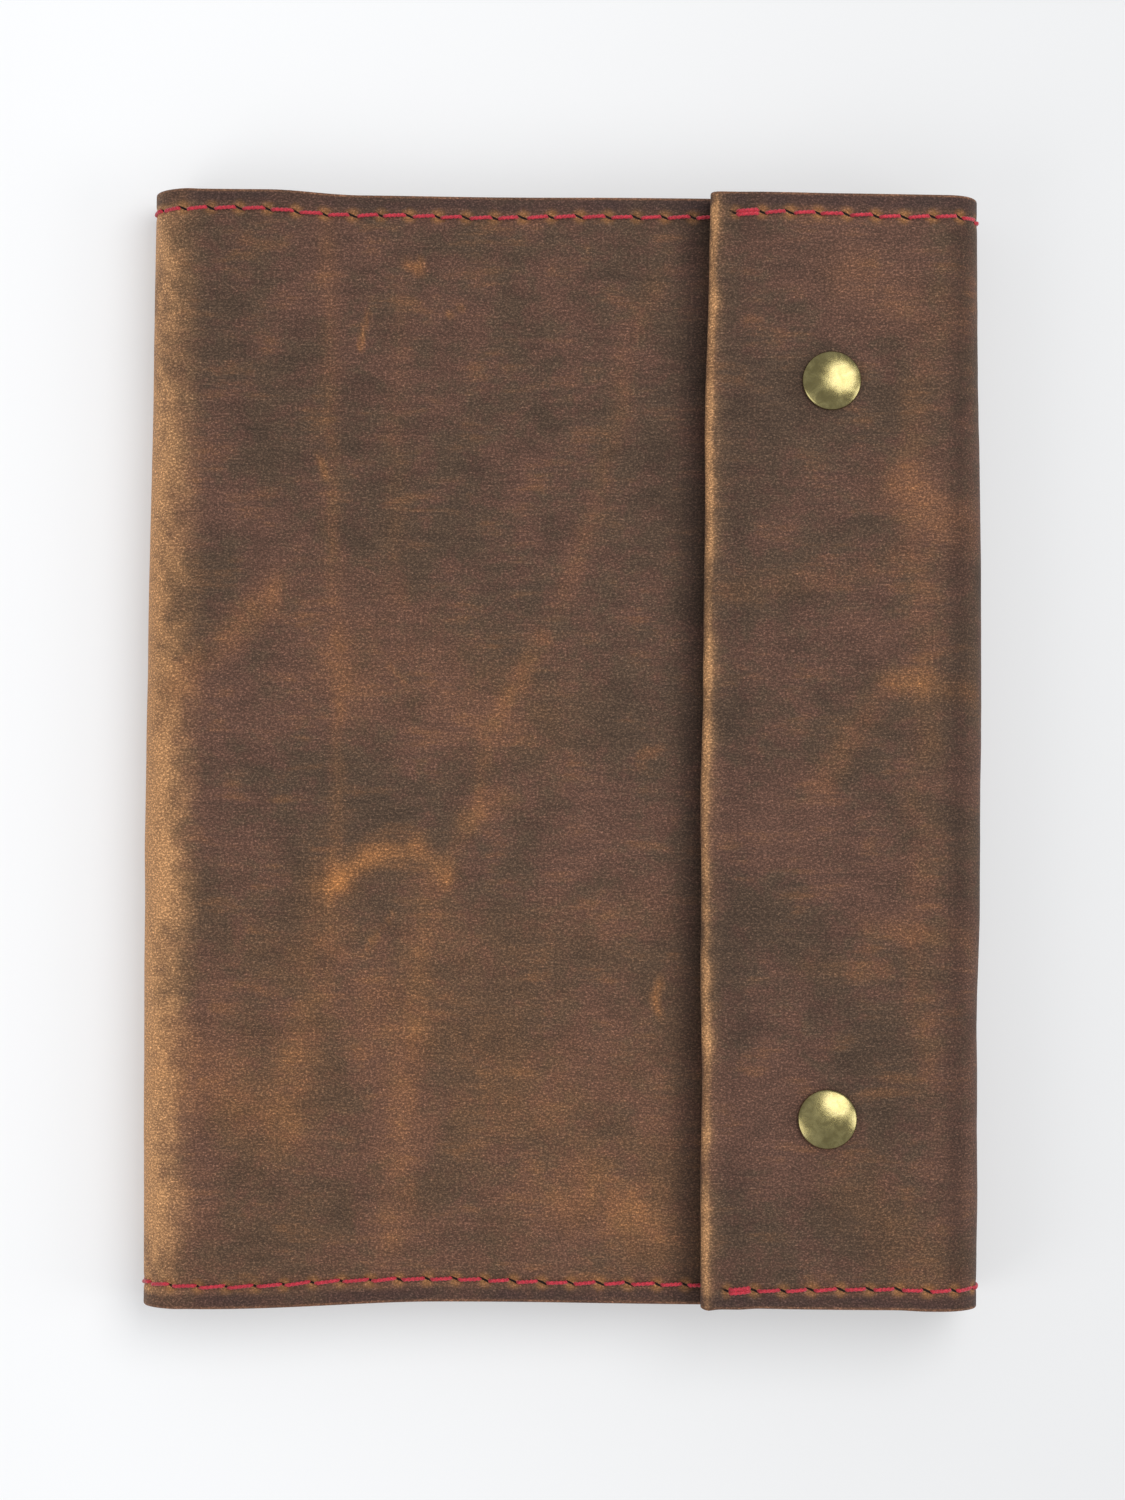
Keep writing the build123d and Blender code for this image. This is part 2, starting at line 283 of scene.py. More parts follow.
# ---- Meshes ----
def new_mesh(name, verts, faces, material, sharp=50):
    mesh = bpy.data.meshes.new(name)
    mesh.from_pydata((np.asarray(verts) * MM).tolist(), [], faces)
    mesh.materials.append(material)
    mesh.polygons.foreach_set("use_smooth", np.ones(len(mesh.polygons), bool))
    mesh.set_sharp_from_angle(angle=math.radians(sharp))
    piece = bpy.data.objects.new(name, mesh)
    bpy.context.scene.collection.objects.link(piece)
    return piece


def give(piece, name, values):
    """Store three numbers on each point, for the materials to read."""
    attribute = piece.data.attributes.new(name, "FLOAT_VECTOR", "POINT")
    attribute.data.foreach_set("vector", np.asarray(values, np.float32).ravel())


def edge_corner(radius, depth, first, last):
    """The rounded corner of a cut edge, as distance in from the edge and depth."""
    turn = np.radians(np.linspace(first, last, 5))
    return np.stack([radius - radius * np.sin(turn), depth - radius * np.cos(turn)], 1)


def stroke(x, y, points, wide):
    """How near a place is to a line drawn through these points: 1 on it, fading out over its width."""
    nearest = np.full(np.shape(x), 1e9)
    for (x0, y0), (x1, y1) in zip(points, points[1:]):
        length = math.hypot(x1 - x0, y1 - y0)
        share = np.clip(((x - x0) * (x1 - x0) + (y - y0) * (y1 - y0)) / length**2, 0, 1)
        nearest = np.minimum(nearest, np.hypot(x - x0 - share * (x1 - x0), y - y0 - share * (y1 - y0)))
    return np.exp(-((nearest / wide) ** 2))


# Where the oil has been pulled out of the leather: points along a crease, its width, its strength
CREASES = [
    ([(-50.5, 112), (-48.8, 52), (-47.3, 10), (-47, -29)], 1.7, 0.14),
    ([(-47, -29), (-52.4, -53), (-56.5, -70), (-58, -82)], 4.5, 0.16),
    ([(-36, 96), (-35.4, 31)], 2.2, 0.07),
    ([(18, 98), (12, 76), (7, 52), (-1, 30)], 2.2, 0.10),
    ([(-4, 23), (-8, 16), (-12, 9), (-16, 1.7), (-16.5, -7.6), (-20, -15.5), (-25, -27.5)], 2.0, 0.19),
    ([(-25, -27.5), (-27.2, -36), (-30, -44), (-34.3, -103)], 3.6, 0.19),
    ([(-48.8, -30), (-42.3, -25.5), (-37.3, -22.6), (-31.6, -20.8), (-28.7, -22.6), (-25, -27.5)], 2.0, 0.26),
    ([(-40, -23.5), (-32, -21)], 2.6, 0.28),
    ([(-49, -30), (-46, -28)], 2.8, 0.22),
    ([(-20.5, -14.5), (-16, -11.5), (-11.5, -10.5)], 2.4, 0.27),
    ([(-35, -35), (-41.5, -44)], 0.45, 0.30),
    ([(-36.6, 16.8), (-33, 13)], 0.45, 0.30),
    ([(-82, 12), (-60.6, 33)], 3.4, 0.24),
    ([(-47, 18), (-46, 10)], 6.0, 0.09),
    ([(-44, 22), (-10, 4)], 14.0, 0.08),
    ([(-82, -66), (-60, -78)], 8.0, 0.16),
    ([(4, -95), (21, -101)], 7.0, 0.18),
    ([(-50, -45), (10, -88)], 16.0, 0.09),
    ([(-20, -40), (20, -36)], 6.0, 0.05),
    ([(-34, 102), (-31, 101)], 1.0, 0.50),
    ([(-31, 103), (-32, 100)], 0.7, 0.40),
    ([(-41.8, 92), (-43.8, 84)], 0.5, 0.55),
    ([(-52, 61), (-50.5, 56.5)], 0.8, 0.45),
    ([(-25, 91.5), (-21.5, 93)], 0.5, 0.45),
    ([(21, -49), (19.5, -53), (20.5, -56)], 0.8, 0.40),
]
FLAP_CREASES = [
    ([(68, 14.5), (86, 12)], 2.6, 0.26),
    ([(71, 54), (87, 46)], 5.0, 0.18),
    ([(34, 33), (54, 35), (72, 40)], 2.6, 0.11),
    ([(53, -7), (64, 8)], 3.4, 0.14),
    ([(51, -46), (68, -46)], 2.0, 0.13),
    ([(64, -37), (86, -40)], 2.4, 0.15),
    ([(60, 99), (80, 90)], 6.0, 0.10),
    ([(62, -92), (78, -108)], 7.0, 0.12),
    ([(74, 80), (76, -70)], 3.5, 0.10),
]


def wear_and_shade(s, v):
    """Pull-up tan with a painted highlight on the spine, orange rub marks, and dark grime with painted shade, each from
    0 to 1.
    """
    broken = 0.85 + 0.3 * value_noise(s, v, 2.2, 11) + 0.2 * value_noise(s, v, 9, 12)
    # Lighter over the rounded spine: pull-up wear with a painted highlight where the spine faces the left lamp,
    # brighter toward the tail
    spine = within(s, begin["spine"] + 13, finish["spine"] - 13, 18)
    spine = spine * (1 - 0.45 * smooth((-96 - v) / 16))
    tan = 1.20 * spine * (0.78 + 0.30 * smooth((60 - v) / 70) + 0.18 * value_noise(s, v, 24, 15))
    fold = 0.75 + 0.35 * value_noise(s * 0, v, 7, 13) + 0.3 * value_noise(s * 0, v, 26, 14)
    tan += (0.62 * bump(s, on_flap(flap_edge + 0.8), 1.7) + 0.22 * bump(s, on_flap(flap_edge + 3.0), 2.8)) * fold
    tan += 0.55 * within(s, begin["flap_nose"] + 1, finish["flap_nose"], 1.0) * fold
    tan += 0.12 * within(s, begin["high_bend"], finish["high_bend"], 6)
    orange = 0.24 * spine * bump(v, 10, 36)
    for where, creases in ((on_front, CREASES), (on_flap, FLAP_CREASES)):
        x = where(0) - s
        bent = 1.8 * value_noise(s, v, 11, 16) + 1.1 * value_noise(s, v, 3.0, 17)
        for points, wide, strength in creases:
            ragged = 1 + 0.35 * value_noise(s, v, 6, 18) + 0.30 * value_noise(s, v, 1.7, 19)
            orange += strength * ragged * stroke(x + bent * min(1.0, wide / 3), v, points, wide)
    orange += 0.06 * smooth((-10 - v) / 60) * (s < begin["back"])
    # Painted shadow on the front beside the flap's folded edge, over leather darkened where that edge lies; painted
    # shade in the shallow valley behind the fold
    grime_and_shade = 0.74 * bump(s, on_front(flap_edge - 2.2), 3.2) + 0.13 * bump(s, on_flap(flap_edge + 6.5), 3.4)
    # Painted shade where the surface turns away over the fore-edge bend, and on the fore-edge wall
    grime_and_shade += 0.48 * bump(s, on_flap(right - 5.0), 3.0) + 0.25 * bump(s, on_flap(right + 5), 5)
    # The flap a little darker all over, and the front darker toward the head
    grime_and_shade += 0.12 * smooth((s - begin["high_bend"]) / 4) + 0.08 * smooth((v - 10) / 60) * (s < begin["spine"])
    # A dark ring round each cap: painted contact shade, and leather darkened round the cap
    for centre in snaps.values():
        grime_and_shade += 0.20 * bump(np.hypot(s - on_flap(centre[0]), v - centre[1]), cap_radius, 1.8)
    return np.stack([tan * broken, orange * broken, grime_and_shade * (0.8 + 0.2 * broken)], -1)


def columns(first, last, step):
    """Places along the strip, closer together round a nose and a bend."""
    places = [first]
    while places[-1] < last - 1e-6:
        s = places[-1]
        nose = begin["front_nose"] - 1 < s < finish["front_nose"] + 1
        nose = nose or begin["flap_nose"] - 2 < s < finish["flap_nose"] + 1
        places.append(min(s + (0.3 if nose else step), last))
    return np.array(places)


def strip_piece(name, first, last, top, thickness, material, step=0.75, fine=0.45, shorter=0.0):
    """One sheet of the strip between two places along it: a closed skin with rounded cut edges.
    top gives the depth of its outer side, and shorter how far its cut edges stand back."""
    s = columns(first, last, step)
    near = np.arange(fine, 9, fine)
    middle = np.linspace(0, 1, 150)[1:-1]
    far = np.linspace(0, 1, 62)[1:-1]
    round_out, round_in = min(0.5, thickness * 0.35), 0.2
    out_corner = edge_corner(round_out, round_out, 0, 90)
    in_corner = edge_corner(round_in, thickness - round_in, 90, 180)
    # One loop round the sheet: (side, distance from the edge or share of the middle, depth)
    loop = [("tail", e, 0.0) for e in round_out + near]
    loop += [("middle", share, 0.0) for share in middle]
    loop += [("head", e, 0.0) for e in (round_out + near)[::-1]]
    loop += [("head", e, d) for e, d in np.concatenate([out_corner, in_corner])]
    loop += [("head", e, thickness) for e in np.arange(1.5, 9, 1.5)]
    loop += [("middle", share, thickness) for share in far[::-1]]
    loop += [("tail", e, thickness) for e in np.arange(1.5, 9, 1.5)[::-1]]
    loop += [("tail", e, d) for e, d in np.concatenate([out_corner, in_corner])[::-1]]
    top_edge, bottom_edge = head(s) - shorter, -(tail(s) - shorter)
    limit = 9 + round_out
    v = np.zeros((len(s), len(loop)))
    depth = np.zeros_like(v)
    for j, (side, value, d) in enumerate(loop):
        if side == "head":
            v[:, j] = top_edge - value
        elif side == "tail":
            v[:, j] = bottom_edge + value
        else:
            v[:, j] = bottom_edge + limit + value * (top_edge - bottom_edge - 2 * limit)
        depth[:, j] = d
    grid_s = np.repeat(s[:, None], len(loop), 1)
    nose = within(grid_s, 0, finish["front_nose"], 2.0)
    depth = depth * (1 - nose * (1 - (FRONT_NOSE - 0.1) / leather)) if thickness == leather else depth
    verts = strip_points(grid_s, v, depth + top(grid_s, v)).reshape(-1, 3)
    n = len(loop)
    faces = []
    for i in range(len(s) - 1):
        a, b = i * n, (i + 1) * n
        faces += [(a + j, a + (j + 1) % n, b + (j + 1) % n, b + j) for j in range(n)]
    faces.append(list(range(n))[::-1])
    faces.append([(len(s) - 1) * n + j for j in range(n)])
    piece = new_mesh(name, verts, faces, material)
    flat_depth = depth + top(grid_s, v) * 0
    give(piece, "flat", np.stack([front_zero - grid_s, v, flat_depth], -1))
    e = edge_distance(grid_s, v)
    give(piece, "seam", np.stack([grid_s - row_start, e - inset(grid_s, v), e], -1))
    give(piece, "wear_and_shade", wear_and_shade(grid_s, v))
    return piece


def stitch_mesh(name, first, last, material):
    """All the stitches whose middle lies between two places, on the outer and the inner side."""
    rng = np.random.default_rng(21)
    around, along = 10, 23
    verts, faces = [], []
    t = np.linspace(-1, 1, along)
    phi = np.linspace(0, 2 * math.pi, around, endpoint=False)
    for k in range(stitch_total):
        centre = row_start + (k + 0.5) * pitch
        jitter = rng.uniform(-1, 1, (2, 2, 4))
        if not first <= centre < last:
            continue
        sunk = float(begin["spine"] < centre < finish["high_bend"])
        strands = [0.0] if k < stitch_total - 1 else [-0.36, 0.36]
        for side, sign in enumerate((1, -1)):
            for face, (depth, facing) in enumerate(((0.0, 1), (ply, -1))):
                for strand in strands:
                    j = jitter[side, face]
                    length = STITCH_RUN + 0.25 * j[0] + (0.8 * near_spine(centre, -20, 30) if sign < 0 else 0)
                    s = centre - t * length / 2 + 0.15 * j[1]
                    lean = math.tan(STITCH_TILT + math.radians(2.0) * j[2])
                    line = head(s) - inset(s, 1) if sign > 0 else -(tail(s) - inset(s, -1))
                    v = line + t * length / 2 * lean + strand
                    lift = THREAD * (0.75 - 0.5 * sunk) - 1.3 * np.clip((np.abs(t) - 0.70) / 0.30, 0, 1) ** 2
                    _, _, nx, nz = place(s)
                    core = strip_points(s, v, depth + 0.14 - facing * lift, sewn=False)
                    tangent = np.gradient(core, axis=0)
                    tangent /= np.linalg.norm(tangent, axis=1)[:, None]
                    normal = np.stack([nx, nx * 0, nz], -1)
                    beside = np.cross(tangent, normal)
                    beside /= np.linalg.norm(beside, axis=1)[:, None]
                    above = np.cross(beside, tangent)
                    turn = phi[None, :] - t[:, None] * length * 1.7
                    thick = 1.1 if len(strands) > 1 else 1.0
                    radius = THREAD * thick * (0.90 + 0.16 * np.cos(2 * turn))
                    ring = radius[..., None] * (
                        np.cos(phi)[None, :, None] * beside[:, None] + np.sin(phi)[None, :, None] * above[:, None]
                    )
                    base = len(verts) * along * around
                    verts.append((core[:, None] + ring).reshape(-1, 3))
                    for i in range(along - 1):
                        a, b = base + i * around, base + (i + 1) * around
                        faces += [(a + q, a + (q + 1) % around, b + (q + 1) % around, b + q) for q in range(around)]
                    faces.append([base + q for q in range(around)][::-1])
                    faces.append([base + (along - 1) * around + q for q in range(around)])
    piece = new_mesh(name, np.concatenate(verts), faces, material, sharp=80)
    return piece


# ---- Material tools ----
class Shader:
    """A material and short calls that add nodes to it."""

    def __init__(self, name):
        self.material = bpy.data.materials.new(name)
        self.material.use_nodes = True
        self.tree = self.material.node_tree
        self.surface = self.tree.nodes["Principled BSDF"]

    def node(self, kind, *values, out=0, **settings):
        made = self.tree.nodes.new("ShaderNode" + kind)
        for key, value in settings.items():
            setattr(made, key, value)
        for socket, value in zip(made.inputs, values):
            self.plug(socket, value)
        return made.outputs[out]

    def plug(self, socket, value):
        if isinstance(value, bpy.types.NodeSocket):
            self.tree.links.new(value, socket)
        elif value is not None:
            socket.default_value = value

    def math(self, operation, *values):
        return self.node("Math", *values, operation=operation)

    def add(self, a, b):
        return self.math("ADD", a, b)

    def times(self, a, b):
        return self.math("MULTIPLY", a, b)

    def minus(self, a, b):
        return self.math("SUBTRACT", a, b)

    def attribute(self, name):
        made = self.tree.nodes.new("ShaderNodeAttribute")
        made.attribute_name = name
        return made.outputs["Vector"]

    def split(self, vector):
        made = self.tree.nodes.new("ShaderNodeSeparateXYZ")
        self.plug(made.inputs[0], vector)
        return made.outputs

    def stretch(self, vector, x, y, z):
        return self.node("VectorMath", vector, (x, y, z), operation="MULTIPLY")

    def noise(self, vector, size, detail=2.0, rough=0.5, distortion=0.0):
        """Noise with blobs of about this size in mm."""
        made = self.tree.nodes.new("ShaderNodeTexNoise")
        self.plug(made.inputs["Vector"], vector)
        made.inputs["Scale"].default_value = 1.0 / size
        made.inputs["Detail"].default_value = detail
        made.inputs["Roughness"].default_value = rough
        made.inputs["Distortion"].default_value = distortion
        return made.outputs[0]

    def step(self, value, start, stop, to_min=0.0, to_max=1.0):
        """Rises smoothly from to_min to to_max as value goes from start to stop."""
        made = self.tree.nodes.new("ShaderNodeMapRange")
        made.interpolation_type = "SMOOTHSTEP"
        for socket, given in zip(made.inputs, (value, start, stop, to_min, to_max)):
            self.plug(socket, given)
        return made.outputs[0]

    def blend(self, share, first, second, kind="MIX"):
        made = self.tree.nodes.new("ShaderNodeMix")
        made.data_type = "RGBA"
        made.blend_type = kind
        self.plug(made.inputs[0], share)
        self.plug(made.inputs[6], first)
        self.plug(made.inputs[7], second)
        return made.outputs[2]

    def bump(self, height, strength, distance, before=None):
        made = self.tree.nodes.new("ShaderNodeBump")
        made.inputs["Strength"].default_value = strength
        made.inputs["Distance"].default_value = distance
        self.plug(made.inputs["Height"], height)
        if before is not None:
            self.plug(made.inputs["Normal"], before)
        return made.outputs[0]

    def finish(self, color, rough, normal=None, **fixed):
        self.plug(self.surface.inputs["Base Color"], color)
        self.plug(self.surface.inputs["Roughness"], rough)
        if normal is not None:
            self.plug(self.surface.inputs["Normal"], normal)
        for name, value in fixed.items():
            self.surface.inputs[name.replace("_", " ")].default_value = value
        return self.material


OLIVE = linear(90, 70, 55)
MAUVE = linear(99, 70, 57)
SLATE = linear(76, 60, 50)
WARM = linear(118, 80, 52)
TAN = linear(186, 138, 94)
ORANGE = linear(166, 110, 64)
GRIME_AND_SHADE_COLOR = linear(38, 24, 20)


def worn_leather_with_painted_shading(name, inside=False):
    """Waxed, oil-pulled leather: olive and mauve clouds, a fine nap, rub marks and sewing holes, with a painted
    highlight and painted shade.
    """
    m = Shader(name)
    flat, seam, wear_and_shade_marks = m.attribute("flat"), m.attribute("seam"), m.attribute("wear_and_shade")
    along, row, edge = m.split(seam)
    tan, orange, grime_and_shade = m.split(wear_and_shade_marks)
    across = m.split(flat)[1]
    if inside:
        tan, orange, grime_and_shade = (m.times(mark, 0.2) for mark in (tan, orange, grime_and_shade))

    cloud = m.noise(flat, 30, 3, 0.55, 0.5)
    patch = m.noise(m.stretch(flat, 0.75, 1.1, 1.0), 9, 4, 0.6, 0.4)
    streak = m.noise(m.stretch(flat, 0.20, 1.5, 1.0), 2.6, 4, 0.65)
    nap = m.noise(m.stretch(flat, 0.80, 1.20, 1.0), 0.54, 2, 0.7)
    speck = m.noise(m.stretch(flat, 0.9, 1.1, 1.0), 0.34, 1, 0.5)
    fibre = m.noise(m.stretch(flat, 0.12, 2.0, 1.0), 0.7, 2, 0.6, 0.8)
    tint = m.noise(m.stretch(flat, 0.9, 1.1, 1.0), 5.0, 3, 0.7, 0.3)

    color = m.blend(m.step(m.add(m.times(cloud, 0.6), m.times(tint, 0.5)), 0.47, 0.63), OLIVE, MAUVE)
    color = m.blend(m.step(patch, 0.50, 0.30, 0, 0.36), color, SLATE)
    color = m.blend(m.step(m.add(patch, m.times(streak, 0.6)), 0.82, 1.08, 0, 0.55), color, WARM)
    color = m.blend(m.step(streak, 0.50, 0.30, 0, 0.25), color, SLATE)

    tone = m.add(m.times(m.minus(cloud, 0.5), 0.55), m.times(m.minus(patch, 0.5), 0.30))
    color = m.node("HueSaturation", 0.5, 1.0, m.add(0.83, m.add(tone, m.times(m.minus(streak, 0.5), 0.40))), 1.0, color)

    rub = m.add(m.times(streak, 0.5), m.times(nap, 0.7))
    # Tan from pull-up wear, and the painted highlight on the spine
    tan_and_highlight_share = m.step(m.times(tan, m.add(m.times(rub, 0.6), 0.60)), 0.02, 1.05)
    color = m.blend(tan_and_highlight_share, color, TAN)
    orange_share = m.math("MINIMUM", m.times(orange, m.add(m.times(rub, 1.2), 0.25)), 0.9)
    color = m.blend(orange_share, color, ORANGE)
    # Darkened toward near-black brown by grime and painted shade: the shadow beside the flap's edge, shade on the
    # fore-edge bend and round the caps
    color = m.blend(m.math("MINIMUM", m.times(grime_and_shade, 0.8), 0.9), color, GRIME_AND_SHADE_COLOR)

    # The cut edge: a burnished rim, then a darker band out to the sewing
    band = m.times(m.step(edge, 3.9, 2.2), m.step(patch, 0.30, 0.62, 0.20, 0.75))
    color = m.blend(band, color, linear(58, 42, 40))
    rim = m.times(m.step(edge, 0.8, 0.3), m.step(streak, 0.3, 0.6, 0.3, 0.9))
    color = m.blend(rim, color, linear(120, 84, 62))

    # Sewing: scuffed halos round the holes, and the slits that the thread goes down, painted near-black as the shade
    # inside them
    turn = m.math("FRACT", m.add(m.math("DIVIDE", along, pitch), 0.5))
    beside = m.times(m.minus(turn, 0.5), -pitch)
    up = m.times(m.times(row, -1.0), m.math("SIGN", across))
    hole_far = m.math("SQRT", m.add(m.math("POWER", beside, 2.0), m.math("POWER", up, 2.0)))
    sewn = m.times(m.step(along, -1.5, 0.0), m.step(along, pitch * stitch_total + 1.5, pitch * stitch_total))
    halo = m.times(m.step(m.add(hole_far, m.times(nap, 2.2)), 3.3, 1.5), sewn)
    halo = m.times(halo, m.step(cloud, 0.25, 0.60, 0.20, 0.85))
    color = m.blend(m.times(halo, 0.75), color, linear(158, 108, 62))
    cosine, sine = math.cos(SLIT_ANGLE), math.sin(SLIT_ANGLE)
    lengthwise = m.add(m.times(beside, cosine), m.times(up, sine))
    crosswise = m.minus(m.times(up, cosine), m.times(beside, sine))
    slit = m.add(
        m.math("POWER", m.math("DIVIDE", lengthwise, 1.30), 2.0),
        m.math("POWER", m.math("DIVIDE", crosswise, 0.22), 2.0),
    )
    slit = m.times(m.step(slit, 1.4, 0.6), sewn)
    color = m.blend(slit, color, linear(20, 12, 10))

    light = m.add(m.times(m.minus(nap, 0.5), 3.2), m.times(m.minus(speck, 0.5), 2.6))
    light = m.add(light, m.times(m.minus(fibre, 0.5), 0.7))
    light = m.times(light, m.add(0.9, m.times(light, 0.7)))
    color = m.node("HueSaturation", 0.5, 1.0, m.add(1.0, light), 1.0, color)
    if inside:
        color = m.blend(0.45, color, linear(120, 84, 60))

    height = m.add(m.times(nap, 0.6), m.times(speck, 0.25))
    height = m.add(height, m.times(patch, 1.2))
    normal = m.bump(height, 0.6, 0.00025)
    normal = m.bump(m.times(slit, -1.0), 0.9, 0.0006, normal)
    rough = m.step(m.add(patch, m.times(nap, 0.3)), 0.3, 1.0, 0.80, 0.62)
    return m.finish(color, rough, normal, Specular_IOR_Level=0.16, Sheen_Weight=0.04, Sheen_Roughness=0.5)


def waxed_thread():
    m = Shader("waxed_thread")
    spot = m.node("TexCoord", out=3)
    fuzz = m.noise(m.stretch(spot, 1 / MM, 1 / MM, 1 / MM), 0.35, 3, 0.6)
    shade = m.noise(m.stretch(spot, 1 / MM, 1 / MM, 1 / MM), 3.0, 1)
    color = m.blend(m.step(fuzz, 0.3, 0.72), linear(146, 18, 36), linear(214, 48, 66))
    color = m.blend(m.step(shade, 0.4, 0.7, 0, 0.35), color, linear(150, 20, 36))
    return m.finish(
        color, 0.52, m.bump(fuzz, 0.5, 0.00012), Specular_IOR_Level=0.35, Sheen_Weight=0.25
    )


def antique_brass(name="antique_brass_look"):
    m = Shader(name)
    spot = m.node("TexCoord", out=3)
    mm = m.stretch(spot, 1 / MM, 1 / MM, 1 / MM)
    age = m.noise(mm, 2.6, 4, 0.65, 0.5)
    pit = m.noise(mm, 0.5, 3, 0.7)
    color = m.blend(m.step(age, 0.35, 0.7), linear(126, 113, 60), linear(160, 147, 92))
    color = m.blend(m.step(pit, 0.58, 0.76, 0, 0.35), color, linear(104, 90, 48))
    rough = m.step(m.add(age, m.times(pit, 0.5)), 0.4, 1.0, 0.17, 0.30)
    return m.finish(color, rough, m.bump(pit, 0.25, 0.00008), Metallic=1.0, Coat_Weight=1.0, Coat_Roughness=0.22)


def steel():
    m = Shader("spring_steel_look")
    spot = m.node("TexCoord", out=3)
    grain = m.noise(m.stretch(spot, 1 / MM, 1 / MM, 8 / MM), 0.4, 3)
    color = m.blend(grain, linear(120, 122, 124), linear(196, 198, 200))
    return m.finish(color, m.step(grain, 0.3, 0.7, 0.25, 0.4), Metallic=1.0)


def book_cloth():
    m = Shader("book_cloth")
    spot = m.split(m.stretch(m.node("TexCoord", out=3), 1 / MM, 1 / MM, 1 / MM))
    warp = m.math("SINE", m.times(m.add(spot[0], spot[2]), 13.0))
    weft = m.math("SINE", m.times(spot[1], 13.0))
    weave = m.times(warp, weft)
    color = m.blend(m.step(weave, -0.8, 0.8), linear(30, 30, 33), linear(56, 56, 60))
    return m.finish(color, 0.85, m.bump(weave, 0.5, 0.0001), Specular_IOR_Level=0.25, Sheen_Weight=0.15)


def paper():
    m = Shader("paper")
    spot = m.stretch(m.node("TexCoord", out=3), 1 / MM, 1 / MM, 1 / MM)
    leaves = m.noise(m.stretch(spot, 0.03, 0.03, 1.0), 0.11, 2, 0.7)
    pulp = m.noise(spot, 0.8, 4, 0.6)
    up = m.math("ABSOLUTE", m.split(m.node("NewGeometry", out=1))[2])
    side = m.step(up, 0.9, 0.3)
    color = m.blend(m.step(pulp, 0.3, 0.7), linear(238, 232, 216), linear(246, 241, 228))
    shade = m.times(m.step(leaves, 0.62, 0.40), side)
    color = m.blend(m.times(shade, 0.55), color, linear(176, 166, 144))
    return m.finish(color, 0.9, m.bump(m.add(m.times(leaves, side), pulp), 0.3, 0.00006), Specular_IOR_Level=0.2)


def studio_floor():
    """White card lit a little from below, with painted shade making it a shade darker to the right of the cover."""
    m = Shader("studio_floor")
    spot = m.node("TexCoord", out=3)
    # Painted shade: the card's colour darkens from left to right across the cover
    tone = m.step(m.split(spot)[0], -0.13, 0.16)
    color = m.blend(tone, linear(208, 208, 208), linear(184, 184, 184))
    color = m.blend(m.times(m.noise(spot, 0.5, 2), 0.1), color, linear(190, 190, 192))
    return m.finish(color, 0.95, None, Specular_IOR_Level=0.05, Emission_Color=(1, 1, 1, 1), Emission_Strength=0.29)


outer_leather = worn_leather_with_painted_shading("worn_leather_with_painted_shading")
inner_leather = worn_leather_with_painted_shading("inner_leather", inside=True)
thread_red = waxed_thread()
brass = antique_brass()
cloth = book_cloth()
pages = paper()


# ---- How far each layer lies below the outer face ----
def at_face(s, v):
    return np.zeros_like(s)


def under_leather(s, v):
    return np.full_like(s, leather)


def over_board(mouth, far_end, rise):
    """The depth of a pocket: at its border against the leather, and over the board inside it."""

    def depth(s, v):
        first, last = min(mouth, far_end), max(mouth, far_end)
        closed_first = 3.0 if far_end < mouth else 1e-6
        closed_last = 3.0 if far_end > mouth else 1e-6
        along = smooth((s - first) / closed_first) * smooth((last - s) / closed_last)
        across = smooth((board_half + 3.6 - np.abs(v)) / 3.0)
        return leather + rise * along * across

    return depth


# ---- Leather, in four lengths that meet where the strip doesn't bend as it opens ----
low_left = dict(start=((left + 8.0) * MM, 0, 3.2 * MM), end=((left + 1.5) * MM, 0, 7.0 * MM))
high_left = dict(
    start=((left + 1.5) * MM, 0, (front_top - 7.0) * MM), end=((left + 8.0) * MM, 0, (front_top - 3.2) * MM)
)
low_right = dict(start=((right - 8.0) * MM, 0, 3.2 * MM), end=((right - 1.5) * MM, 0, 7.0 * MM))
high_right = dict(
    start=((right - 1.5) * MM, 0, (flap_top - 7.0) * MM), end=((right - 8.0) * MM, 0, (flap_top - 3.2) * MM)
)
LENGTHS = {
    "front": (0.0, mid_spine, ("spine", "front_cover"), high_left),
    "spine": (mid_spine, mid_back, ("back_cover", "spine"), low_left),
    "back": (mid_back, mid_wall, ("back_cover", "fore_edge"), low_right),
    "flap": (mid_wall, strip_end, ("fore_edge", "flap"), high_right),
}
REPLACED = {
    "front": ["front_leather"],
    "spine": ["spine_leather"],
    "back": ["back_leather", "fore_edge_leather"],
    "flap": ["flap_leather"],
}
for part, (first, last, bodies, bend) in LENGTHS.items():
    skin = strip_piece(f"leather_{part}", first, last, at_face, leather, outer_leather)
    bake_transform(skin)
    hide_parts(*REPLACED[part])

# ---- Linings between the pockets, and the flap's lining ----
front_mouth, back_mouth = on_front(board_left - 0.1), on_back(board_left - 0.1)
back_pocket_end = on_back(right - FORE_ROUND - 2)
linings = {
    "front": (front_mouth, mid_spine, ["spine_lining"]),
    "spine": (mid_spine, back_mouth, []),
    "back": (back_pocket_end, mid_wall, ["fore_edge_lining"]),
    "flap": (mid_wall, on_flap(flap_edge + FLAP_NOSE + FLAP_HEM + 0.1), ["flap_lining"]),
}
for part, (first, last, nodes) in linings.items():
    under = strip_piece(
        f"lining_{part}", first, last, under_leather, lining, inner_leather, step=1.2, fine=1.0, shorter=0.3
    )
    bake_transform(under)
    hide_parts(*nodes)

